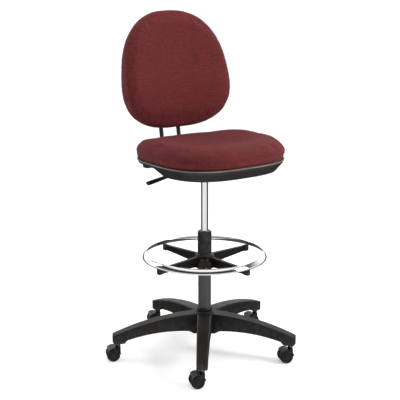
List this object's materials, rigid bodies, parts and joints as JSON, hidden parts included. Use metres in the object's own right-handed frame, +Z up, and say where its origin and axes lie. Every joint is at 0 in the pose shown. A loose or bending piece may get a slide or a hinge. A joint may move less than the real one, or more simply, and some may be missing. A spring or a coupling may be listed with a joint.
{
  "type": "drafting chair",
  "caption": "Height-adjustable drafting chair: padded seat and back on a gas-lift column, with an adjustable foot ring and a star base on casters.",
  "frame": {"origin": "on the floor, on the column's axis", "axes": "+Z up; the sitter faces -Y, so the levers on the sitter's right are at -X"},
  "size_m": [0.7252, 0.6929, 1.2938],
  "materials": {
    "nylon_black": "moulded, fine matt grain",
    "caster_plastic": "moulded, slightly glossy",
    "wheel_plastic": "hard moulded tread",
    "chrome": "polished",
    "zinc_steel": "zinc plated",
    "black_steel": "black powder coat, semi-matt",
    "sleeve_plastic": "smooth moulded",
    "bush_acetal": "smooth low-friction moulding",
    "shell_plastic": "charcoal, leather-like grain",
    "burgundy_fabric": "close horizontal weave, slight sheen",
    "plywood": "plain birch ply",
    "rubber_black": "matt"
  },
  "bodies": {
    "base": {"base_star": "nylon_black", "column_tube": "black_steel", "column_collar": "nylon_black", "column_sleeve": "sleeve_plastic", "guide_bush": "bush_acetal", "thrust_bearing": "zinc_steel"},
    "piston_rod": {"piston_rod": "chrome", "retaining_clip": "zinc_steel", "bump_stop": "rubber_black"},
    "seat": {"gas_cylinder": "chrome", "mechanism_housing": "black_steel", "mechanism_bolts": "zinc_steel", "seat_board": "plywood", "seat_shell": "shell_plastic", "seat_cushion": "burgundy_fabric", "tee_nuts": "zinc_steel", "shell_screws": "zinc_steel", "tilt_pin": "zinc_steel"},
    "release_button": {"release_button": "zinc_steel"},
    "lift_lever": {"lift_lever": "black_steel", "lift_grip": "nylon_black"},
    "back_lock": {"back_lock_lever": "black_steel", "back_lock_grip": "nylon_black"},
    "back_arm": {"back_bracket": "black_steel", "back_bar_left": "black_steel", "back_bar_right": "black_steel"},
    "back": {"back_board": "plywood", "back_cushion": "burgundy_fabric", "back_shell": "shell_plastic", "back_guide": "nylon_black"},
    "footring_carrier": {"footring_liner": "bush_acetal"},
    "footring": {"footring_spider": "nylon_black", "footring_tube": "chrome", "footring_screws": "zinc_steel"},
    "footring_knob": {"footring_knob": "nylon_black"},
    "caster_1": {"caster_body_1": "caster_plastic", "caster_stem_1": "zinc_steel", "caster_axle_1": "zinc_steel"},
    "wheel_1a": {"caster_wheel_1a": "wheel_plastic"},
    "wheel_1b": {"caster_wheel_1b": "wheel_plastic"},
    "caster_2": {"caster_body_2": "caster_plastic", "caster_stem_2": "zinc_steel", "caster_axle_2": "zinc_steel"},
    "wheel_2a": {"caster_wheel_2a": "wheel_plastic"},
    "wheel_2b": {"caster_wheel_2b": "wheel_plastic"},
    "caster_3": {"caster_body_3": "caster_plastic", "caster_stem_3": "zinc_steel", "caster_axle_3": "zinc_steel"},
    "wheel_3a": {"caster_wheel_3a": "wheel_plastic"},
    "wheel_3b": {"caster_wheel_3b": "wheel_plastic"},
    "caster_4": {"caster_body_4": "caster_plastic", "caster_stem_4": "zinc_steel", "caster_axle_4": "zinc_steel"},
    "wheel_4a": {"caster_wheel_4a": "wheel_plastic"},
    "wheel_4b": {"caster_wheel_4b": "wheel_plastic"},
    "caster_5": {"caster_body_5": "caster_plastic", "caster_stem_5": "zinc_steel", "caster_axle_5": "zinc_steel"},
    "wheel_5a": {"caster_wheel_5a": "wheel_plastic"},
    "wheel_5b": {"caster_wheel_5b": "wheel_plastic"}
  },
  "joints": [
    {"name": "seat_swivel", "type": "hinge", "parent": "base", "child": "piston_rod", "pos_m": [0, 0, 0.2], "axis": [0, 0, 1], "continuous": true},
    {"name": "seat_height", "type": "slide", "parent": "piston_rod", "child": "seat", "axis": [0, 0, 1], "range_m": [-0.195, 0]},
    {"name": "lift_lever", "type": "hinge", "parent": "seat", "child": "lift_lever", "pos_m": [-0.0495, 0, 0.735], "axis": [0, 1, 0], "range_deg": [0, 3.5], "stiffness_Nm_per_rad": 10},
    {"name": "lift_button", "type": "slide", "parent": "seat", "child": "release_button", "axis": [0, 0, -1], "range_m": [0, 0.003], "stiffness_N_per_m": 800},
    {"name": "back_lock", "type": "hinge", "parent": "seat", "child": "back_lock", "pos_m": [-0.1, 0.1, 0.7345], "axis": [1, 0, 0], "range_deg": [-20, 0]},
    {"name": "back_tilt", "type": "hinge", "parent": "seat", "child": "back_arm", "pos_m": [0, 0.06, 0.717], "axis": [-1, 0, 0], "range_deg": [-2, 12]},
    {"name": "back_height", "type": "slide", "parent": "back_arm", "child": "back", "axis": [0, 0.1564, 0.9877], "range_m": [0, 0.065]},
    {"name": "footring_height", "type": "slide", "parent": "base", "child": "footring_carrier", "axis": [0, 0, 1], "range_m": [-0.14, 0]},
    {"name": "footring_turn", "type": "hinge", "parent": "footring_carrier", "child": "footring", "pos_m": [0, 0, 0.36], "axis": [0, 0, 1], "continuous": true},
    {"name": "footring_knob", "type": "hinge", "parent": "footring", "child": "footring_knob", "pos_m": [0, 0, 0.357], "axis": [-0.5878, -0.809, 0], "range_deg": [0, 180]},
    {"name": "caster_swivel_1", "type": "hinge", "parent": "base", "child": "caster_1", "pos_m": [-0.20941, -0.27291, 0.06], "axis": [0, 0, 1], "continuous": true},
    {"name": "wheel_spin_1a", "type": "hinge", "parent": "caster_1", "child": "wheel_1a", "pos_m": [-0.22821, -0.26607, 0.025], "axis": [-0.342, -0.9397, 0], "continuous": true},
    {"name": "wheel_spin_1b", "type": "hinge", "parent": "caster_1", "child": "wheel_1b", "pos_m": [-0.22821, -0.26607, 0.025], "axis": [-0.342, -0.9397, 0], "continuous": true},
    {"name": "caster_swivel_2", "type": "hinge", "parent": "base", "child": "caster_2", "pos_m": [0.19484, -0.2835, 0.06], "axis": [0, 0, 1], "continuous": true},
    {"name": "wheel_spin_2a", "type": "hinge", "parent": "caster_2", "child": "wheel_2a", "pos_m": [0.17617, -0.27633, 0.025], "axis": [-0.3584, -0.9336, 0], "continuous": true},
    {"name": "wheel_spin_2b", "type": "hinge", "parent": "caster_2", "child": "wheel_2b", "pos_m": [0.17617, -0.27633, 0.025], "axis": [-0.3584, -0.9336, 0], "continuous": true},
    {"name": "caster_swivel_3", "type": "hinge", "parent": "base", "child": "caster_3", "pos_m": [0.32983, 0.0977, 0.06], "axis": [0, 0, 1], "continuous": true},
    {"name": "wheel_spin_3a", "type": "hinge", "parent": "caster_3", "child": "wheel_3a", "pos_m": [0.31051, 0.10288, 0.025], "axis": [-0.2588, -0.9659, 0], "continuous": true},
    {"name": "wheel_spin_3b", "type": "hinge", "parent": "caster_3", "child": "wheel_3b", "pos_m": [0.31051, 0.10288, 0.025], "axis": [-0.2588, -0.9659, 0], "continuous": true},
    {"name": "caster_swivel_4", "type": "hinge", "parent": "base", "child": "caster_4", "pos_m": [0.00901, 0.34388, 0.06], "axis": [0, 0, 1], "continuous": true},
    {"name": "wheel_spin_4a", "type": "hinge", "parent": "caster_4", "child": "wheel_4a", "pos_m": [-0.00954, 0.35137, 0.025], "axis": [-0.3746, -0.9272, 0], "continuous": true},
    {"name": "wheel_spin_4b", "type": "hinge", "parent": "caster_4", "child": "wheel_4b", "pos_m": [-0.00954, 0.35137, 0.025], "axis": [-0.3746, -0.9272, 0], "continuous": true},
    {"name": "caster_swivel_5", "type": "hinge", "parent": "base", "child": "caster_5", "pos_m": [-0.32427, 0.11483, 0.06], "axis": [0, 0, 1], "continuous": true},
    {"name": "wheel_spin_5a", "type": "hinge", "parent": "caster_5", "child": "wheel_5a", "pos_m": [-0.34281, 0.12232, 0.025], "axis": [-0.3746, -0.9272, 0], "continuous": true},
    {"name": "wheel_spin_5b", "type": "hinge", "parent": "caster_5", "child": "wheel_5b", "pos_m": [-0.34281, 0.12232, 0.025], "axis": [-0.3746, -0.9272, 0], "continuous": true}
  ],
  "couplings": [
    {"joint": "lift_button", "follows": "lift_lever", "m_per_rad": 0.0475}
  ]
}
